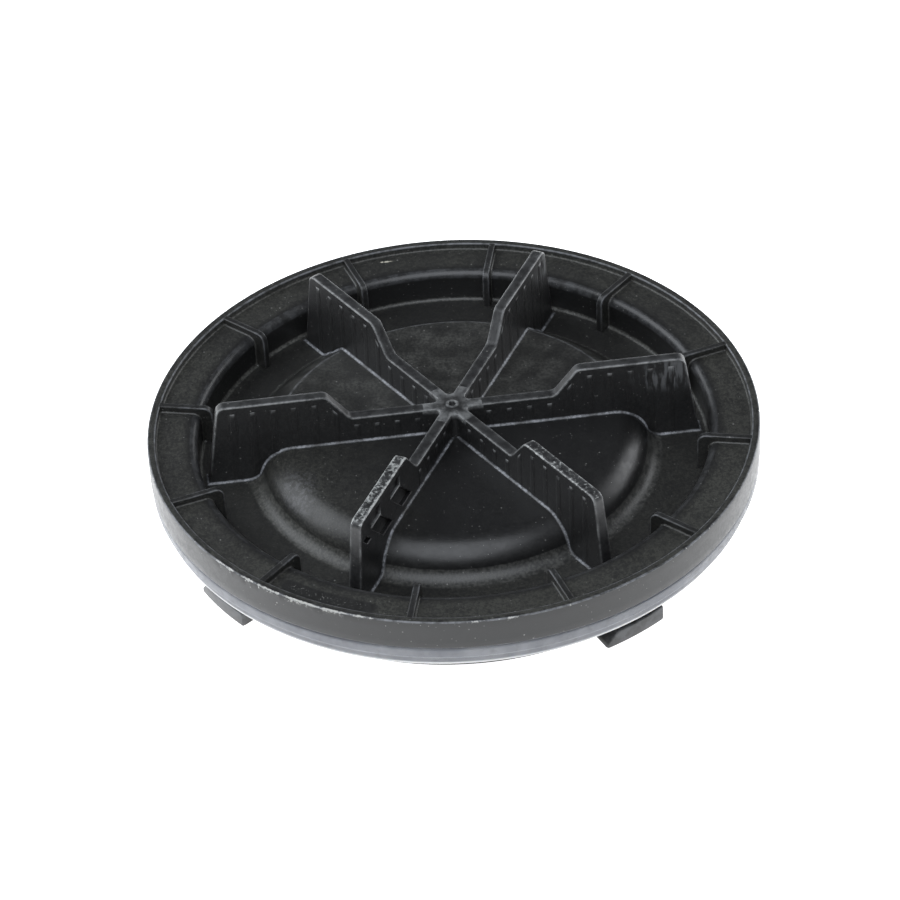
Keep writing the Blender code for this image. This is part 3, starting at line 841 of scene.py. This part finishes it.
def makeArm(index):
    angle = math.tau * index / 6
    rearSides = {1: math.sin(angle + 0.02) > 0, -1: math.sin(angle - 0.02) > 0}
    surfaces = {side: rearTop if rear else bulgeTop for side, rear in rearSides.items()}
    seat = []
    for step in range(grip["seatSteps"] + 1):
        r = armFoot + (grip["innerEnd"] - armFoot) * step / grip["seatSteps"]
        level = min(levelAt(surfaces[1], r), levelAt(surfaces[-1], r))
        seat.append(Vector((r, level - grip["sunk"])))
    outline = list(reversed(armTopLine[:-1] + [Vector((armFoot, troughLevel - grip["sunk"]))]))
    outline += list(reversed(seat))[:-1]
    shape = newShape()

    def wearAt(point):
        # worn along the tops, and less and less down the outer end
        if point.y < armLowLevel - 0.5 and point.x < armEnd - 1.0:
            return 0.0
        down = clamped((armTopLevel - point.y) / grip["endWear"]) if point.x > armEnd - 0.5 else 0.0
        raised = 1.0 if point.y > armTopLevel - 3.0 else grip["lowWear"]
        return raised * (1 - 0.85 * down)

    slotted = index + 1 == pockets["arm"]
    roundedPlate(shape, outline, armHalf, grip["edge"], wearAt, {1: pocketLoops()} if slotted else None)

    half = ridges["width"] / 2
    for side in (-1, 1):
        middle = ridges["start"]
        while middle + half < armEnd - 1.2:
            floor = min(levelAt(surfaces[side], middle - half), levelAt(surfaces[side], middle + half))
            if not (slotted and side > 0 and middle > pockets["from"]):
                addRidge(shape, middle, side, floor + ridges["lift"],
                         lambda r: levelAt(armTopLine, r) - ridges["drop"])
            middle += ridges["pitch"]
    addFillet(shape, filletPath([(1, surfaces[1]), (-1, surfaces[-1])]), grip["filletSize"])
    whitenTop(shape, grip["whitened"].get(index + 1, 0.0))
    name = f"grip_arm_{index + 1}"
    return makePiece(f"gripArm{index + 1}", shape, gripPlastic, [name], turn=angle)


def whitenTop(shape, share):
    # two of the arms are knocked white along the edges of their high part
    if not share:
        return
    for i, point in enumerate(shape["points"]):
        onTop = point.z > armTopLevel - 0.8 and point.x > armEnd - grip["highLength"] - 1.5
        if onTop and shape["wearAndHighlight"][i] > 0.04:
            shape["zone"][i] = 1.0 + share * (0.55 + 0.45 * shape["wearAndHighlight"][i])


hub = {
    "edge": 0.30, "edgeWear": 0.8, "reach": 6.0, "fillet": 0.95,
    "proud": 0.012, "wider": 0.006, "sunk": 1.2,
    "gateRadius": 0.68, "gateDepth": 0.5, "gateLip": 0.12, "gateMiddle": 0.28, "gateWear": 0.9,
}


def starLoop(half, reach, fillet):
    # plan of the hub: six short stubs with round inner corners; corners are (place, is inner)
    corners = []
    for k in range(6):
        angle = math.tau * k / 6
        cosine, sine = math.cos(angle), math.sin(angle)
        for across in (-half, half):
            place = Vector((reach * cosine - across * sine, reach * sine + across * cosine))
            corners.append((place, False))
        between = angle + math.pi / 6
        place = Vector((math.cos(between), math.sin(between))) * half / math.sin(math.pi / 6)
        corners.append((place, True))
    points = []
    count = len(corners)
    for i, (corner, isInner) in enumerate(corners):
        if not isInner:
            points.append(corner)
            continue
        tangent = fillet * math.tan(math.radians(60))
        start = corner + (corners[i - 1][0] - corner).normalized() * tangent
        end = corner + (corners[(i + 1) % count][0] - corner).normalized() * tangent
        points.extend(cornerArc(start, corner, end, 8))
    return points


def makeHub():
    shape = newShape()
    top = armLowLevel + hub["proud"]
    base = rimLevel - shell["bulge"]["depth"] - hub["sunk"]
    edge = hub["edge"]
    rows = [(base, 0.0, 0.0), (top - 1.2, 0.0, 0.0)]  # (level, inset, wear)
    for step in range(5):
        turn = math.pi / 8 * step
        rows.append((top - edge * (1 - math.sin(turn)), edge * (1 - math.cos(turn)), hub["edgeWear"]))
    rings = []
    for level, inset, wearAndHighlight in rows:
        loop = starLoop(armHalf(level) + hub["wider"], hub["reach"], hub["fillet"])
        rings.append([addPoint(shape, (p.x, p.y, level), wearAndHighlight) for p in insetLoop(loop, inset)])
    outer = [shape["points"][i] for i in rings[-1]]
    # the moulding mark in the middle: a low round lip with a hollow inside
    gate, lip, deep = hub["gateRadius"], hub["gateLip"], hub["gateDepth"]
    profile = [(gate + 0.75, 0.0), (gate + 0.45, lip), (gate + 0.15, lip * 1.1),
               (gate - 0.02, -0.02), (gate - 0.15, -deep * 0.8), (hub["gateMiddle"], -deep)]
    for radius, rise in profile:
        ring = []
        for point in outer:
            direction = Vector((point.x, point.y, 0)).normalized()
            place = direction * radius + Vector((0, 0, top + rise))
            ring.append(addPoint(shape, place, hub["gateWear"] if rise > 0 else 0.0))
        rings.append(ring)
    closeTube(shape, rings)
    return makePiece("gripHub", shape, gripPlastic, ["grip_hub"])


gripArms = [makeArm(index) for index in range(6)]
gripHub = makeHub()
print("grip made:", len(gripArms), "arms and a hub")


# Rim ribs

ribs = {
    "count": 12, "thickness": 1.3, "draft": 0.012, "overhang": 2.3, "cornerRound": 1.8, "lean": 0.12,
    "edge": 0.22, "fillet": 0.4, "filletDust": 0.35, "below": 0.03, "sunk": 0.35, "cellSunk": 0.5,
    "intoLip": 0.5, "intoWall": 0.8, "wearAndHighlight": 0.75,
}


def makeRib(index):
    inner = wallRadius - ribs["overhang"]
    top = rimLevel - ribs["below"]
    foot = troughLevel - ribs["sunk"]
    under = cellLevel - ribs["cellSunk"]
    outline = roundedLine([
        (lipRadius + ribs["intoLip"], top, 0, 1),
        (inner, top, ribs["cornerRound"], 8),
        (inner - ribs["lean"], foot, 0, 1),
        (wallRadius + ribs["intoWall"], foot, 0, 1),
        (wallRadius + ribs["intoWall"], under, 0, 1),
        (lipRadius + ribs["intoLip"], under, 0, 1),
    ])
    shape = newShape()

    def ribHalf(level):
        return ribs["thickness"] / 2 + (rimLevel - level) * ribs["draft"]

    def wearAt(point):
        return ribs["wearAndHighlight"] if point.y > top - 2.5 and point.x < lipRadius - 0.3 else 0.0

    roundedPlate(shape, outline, ribHalf, ribs["edge"], wearAt, steps=3)
    turn = math.tau * (index + 0.5) / ribs["count"]
    surface = rearTop if math.sin(turn) > 0 else bulgeTop
    for side in (-1, 1):
        path = []
        for before, after in zip(surface, surface[1:]):
            outside = before.x < inner - 0.4 or after.x > lipRadius - 0.05
            if outside or (after - before).length < 1e-6:
                continue
            along = (after - before).normalized()
            upwards = Vector((-along.y, 0, along.x))
            for share in (0.0, 0.5):
                point = before.lerp(after, share)
                place = Vector((point.x, side * (ribHalf(point.y) - 0.01), point.y))
                path.append((place, Vector((0, side, 0)), upwards))
        addFillet(shape, path if side > 0 else path[::-1], ribs["fillet"], ribs["filletDust"])
    name = f"rim_rib_{index + 1:02d}"
    return makePiece(f"rimRib{index + 1:02d}", shape, coverPlastic, [name], turn=turn)


rimRibs = [makeRib(index) for index in range(ribs["count"])]
print("rim ribs made:", len(rimRibs))


# Bayonet lugs: ring sectors with a lead-in ramp at the clockwise end

lugs = {
    "count": 4, "firstAngle": 30, "length": 14.0, "stand": 4.7, "sunk": 0.4, "edge": 0.4, "columns": 40,
    "rampLength": 2.7, "rampFoot": 0.9, "rampBend": 0.85, "endRound": 0.35, "endRun": 0.5,
    "wearAndHighlight": 0.4, "dustAndPaintedLight": 0.12, "skirtTone": 0.75,
}


def makeLug(index):
    outer = shell["spigotRadius"] + lugs["stand"]
    inner = shell["spigotRadius"] - lugs["sunk"]
    low = lugBox[0].z
    tall = lugBox[1].z - low
    shape = newShape()
    rings = []
    half = lugs["length"] / outer / 2
    rampShare = lugs["rampLength"] / lugs["length"]
    for step in range(lugs["columns"] + 1):
        along = step / lugs["columns"]
        angle = -half + 2 * half * along
        rise = clamped(along / rampShare)
        height = lugs["rampFoot"] + (tall - lugs["rampFoot"]) * (rise ** lugs["rampBend"])
        fromEnd = min(along, 1 - along) * lugs["length"]
        pinch = lugs["endRound"] * clamped(1 - fromEnd / lugs["endRun"]) ** 2
        side, foot, head = outer - pinch, low + pinch, low + height - pinch
        corners = [(inner, foot, 0, 1), (side, foot, lugs["edge"], 4), (side, head, lugs["edge"], 4),
                   (inner, head, 0, 1)]
        pastRamp = clamped((along - rampShare) * 8)
        offRamp = clamped((along - rampShare * 0.7) * 12)
        ring = []
        for point in roundedLine(corners):
            proud = clamped((point.x - outer + 1.2) / 1.0)
            place = (point.x * math.cos(angle), point.x * math.sin(angle), point.y)
            ring.append(addPoint(shape, place, lugs["wearAndHighlight"] * proud, lugs["dustAndPaintedLight"] * proud * pastRamp,
                                 lugs["skirtTone"] * proud * offRamp))
        rings.append(ring)
    closeTube(shape, rings, flipped=True)
    name = f"bayonet_lug_{index + 1}"
    turn = math.radians(lugs["firstAngle"]) + math.tau * index / lugs["count"]
    return makePiece(f"bayonetLug{index + 1}", shape, coverPlastic, [name], turn=turn)


bayonetLugs = [makeLug(index) for index in range(lugs["count"])]
print("bayonet lugs made:", len(bayonetLugs))


# Seal ring

seal = {
    "gap": 0.05, "inset": 0.1, "bead": 2.4, "groove": 0.3, "grooveDepth": 0.5,
    "lip": 2.1, "lipInset": 0.9, "lipRound": 0.45, "edge": 0.75, "foot": 1.3, "hollow": 1.2,
    "columns": 320, "wave": 0.06, "paleBelow": 0.95, "paleFade": 0.35,
    "shadeBelow": 0.42, "shadeAngle": 274, "shadeSpan": 10,
}


def makeSeal():
    inner = shell["spigotRadius"] + seal["gap"]
    channel = lipRadius - seal["gap"]
    base = sealBox[0].z
    bead = outerRadius - seal["inset"]
    lip = outerRadius - seal["lipInset"]
    lipTop = base + seal["lip"]
    beadBase = lipTop + seal["groove"]
    beadTop = beadBase + seal["bead"]
    groove = bead - seal["grooveDepth"]
    top = sealBox[1].z
    foot, hollow = seal["foot"], base + seal["hollow"]
    line = roundedLine([
        (inner, top, 0.2, 2), (channel, top, 0.2, 2),
        (channel, beadTop, 0, 1), (bead, beadTop, seal["edge"], 7), (bead, beadBase, seal["edge"], 7),
        (groove, beadBase, 0.1, 2), (groove, lipTop, 0.1, 2), (lip, lipTop, seal["lipRound"], 5),
        (lip, base + 1.5, 0, 1), (lip, base + 1.0, 0, 1), (lip, base, seal["edge"], 7),
        (lip - foot, base, 0.3, 3), (lip - 2 * foot, hollow, 0.4, 3),
        (inner + 2 * foot, hollow, 0.4, 3), (inner + foot, base, 0.3, 3),
        (inner, base, 0.3, 3), (inner, top, 0, 1),
    ])[:-1]
    shape = newShape()
    rings = []
    for step in range(seal["columns"]):
        angle = math.tau * step / seal["columns"]
        around = Vector((math.cos(angle), math.sin(angle), 0))
        sway = seal["wave"] * noise.noise(around * 2.3)
        # painted shade along the lowest part of the lip, round the front
        shadedShare = clamped(1.4 - abs(math.degrees(angle) - seal["shadeAngle"]) / seal["shadeSpan"])
        ring = []
        for p in line:
            seen = p.x > channel
            out = sway - seal["wave"] * 0.5 if seen else 0.0
            place = around * (p.x + out) + Vector((0, 0, p.y + (sway if p.y < beadBase else 0.0)))
            # the zone mark is the paler lip; the dust mark here is painted shade, a dark band along the
            # lip's lower edge at the front
            pale = clamped((base + seal["paleBelow"] - p.y) / seal["paleFade"]) if seen else 0.0
            paintedShade = shadedShare if seen and p.y < base + seal["shadeBelow"] else 0.0
            ring.append(addPoint(shape, place, 0.0, paintedShade, pale))
        rings.append(ring)
    for i, ring in enumerate(rings):
        joinLoops(shape, rings[(i + 1) % len(rings)], ring)
    return makePiece("sealRing", shape, sealSilicone, ["seal_ring"])


sealRing = makeSeal()
print("seal ring made")


# Floor, light and camera

# lengths in metres; the floor glows more towards both sides
studio = {
    "floorSize": 5.0, "floorColour": (0.86, 0.86, 0.86), "floorRough": 0.9,
    "frontGlow": 1.08, "sideGlow": 1.66, "glowSpan": 0.11,
    "wall": (0.92, 0.94, 0.97), "middle": (0.17, 0.175, 0.185), "ceiling": (0.09, 0.093, 0.10),
    "wallAt": 0.04, "middleAt": 0.25, "ceilingAt": 0.70,
    "front": {"place": (-0.095, -0.536, 0.839), "size": 1.10, "power": 9.0, "tint": (0.90, 0.94, 1.0)},
    "left": {"place": (-0.742, 0.345, 0.574), "size": 1.10, "power": 9.0, "tint": (0.91, 0.95, 1.0)},
    "right": {"place": (0.852, 0.434, 0.292), "size": 0.80, "power": 5.0, "tint": (0.95, 0.97, 1.0)},
}


def makeFloor():
    half = studio["floorSize"] / 2
    level = cadBox[0].z
    mesh = bpy.data.meshes.new("studioFloor")
    corners = [(x * half, y * half, level) for x, y in ((-1, -1), (1, -1), (1, 1), (-1, 1))]
    mesh.from_pydata(corners, [], [(0, 1, 2, 3)])
    floor = bpy.data.objects.new("studioFloor", mesh)
    addToScene(floor)
    looks = Finish("paleFloor")
    looks.give("Base Color", studio["floorColour"])
    looks.give("Roughness", studio["floorRough"])
    looks.give("Emission Color", (1.0, 1.0, 1.0))
    apart = looks.add("SeparateXYZ")
    looks.join(looks.place, apart.inputs[0])
    aside = looks.maths("ABSOLUTE", apart.outputs[0])
    glow = looks.step(aside, 0.0, studio["glowSpan"], studio["frontGlow"], studio["sideGlow"])
    looks.give("Emission Strength", glow)
    # from below the floor is clear, so that the underside can be seen
    below = looks.add("NewGeometry").outputs["Backfacing"]
    mixed = looks.add("MixShader")
    looks.join(below, mixed.inputs[0])
    looks.join(looks.shader.outputs[0], mixed.inputs[1])
    looks.join(looks.add("BsdfTransparent").outputs[0], mixed.inputs[2])
    looks.join(mixed.outputs[0], looks.tree.nodes["Material Output"].inputs["Surface"])
    mesh.materials.append(looks.material)


def standUp(name, data, place, aim, roll=0.0):
    # a lamp or the camera at its place, looking along aim
    holder = bpy.data.objects.new(name, data)
    holder.location = place
    holder.rotation_mode = "QUATERNION"
    holder.rotation_quaternion = aim.to_track_quat("-Z", "Y") @ Quaternion((0.0, 0.0, 1.0), roll)
    addToScene(holder)
    return holder


def makeLamp(name, lamp):
    light = bpy.data.lights.new(name, "AREA")
    light.shape = "DISK"
    light.size = lamp["size"]
    light.energy = lamp["power"]
    light.color = lamp["tint"]
    standUp(name, light, lamp["place"], -Vector(lamp["place"]))


def makeWorld():
    world = bpy.data.worlds.new("studio")
    scene.world = world
    world.use_nodes = True
    tree = world.node_tree
    place = tree.nodes.new("ShaderNodeTexCoord")
    apart = tree.nodes.new("ShaderNodeSeparateXYZ")
    ramp = tree.nodes.new("ShaderNodeValToRGB")
    ramp.color_ramp.interpolation = "EASE"
    stops = ramp.color_ramp.elements
    stops[0].position, stops[1].position = studio["wallAt"], studio["ceilingAt"]
    stops[0].color = (*studio["wall"], 1.0)
    stops[1].color = (*studio["ceiling"], 1.0)
    stops.new(studio["middleAt"]).color = (*studio["middle"], 1.0)
    tree.links.new(place.outputs["Generated"], apart.inputs[0])
    tree.links.new(apart.outputs["Z"], ramp.inputs[0])
    tree.links.new(ramp.outputs[0], tree.nodes["Background"].inputs["Color"])


camera = {
    "distance": 0.8412, "height": 38.54, "around": -95.2, "roll": -3.06,
    "lens": 171.87, "sensor": 36.0, "shiftX": -0.0034, "shiftY": -0.0331, "clipStart": 0.01,
}


def makeCamera():
    target = Vector((0.0, 0.0, rimLevel * mm))
    up, around = math.radians(camera["height"]), math.radians(camera["around"])
    away = Vector((math.cos(up) * math.cos(around), math.cos(up) * math.sin(around), math.sin(up)))
    lens = bpy.data.cameras.new("camera")
    lens.lens = camera["lens"]
    lens.sensor_width = camera["sensor"]
    lens.shift_x = camera["shiftX"]
    lens.shift_y = camera["shiftY"]
    lens.clip_start = camera["clipStart"]
    place = target + away * camera["distance"]
    scene.camera = standUp("camera", lens, place, -away, math.radians(camera["roll"]))


makeFloor()
makeWorld()
for lampName in ("front", "left", "right"):
    makeLamp(lampName + "Lamp", studio[lampName])
makeCamera()
scene.view_settings.view_transform = "Standard"
scene.view_settings.look = "None"
print("studio made")
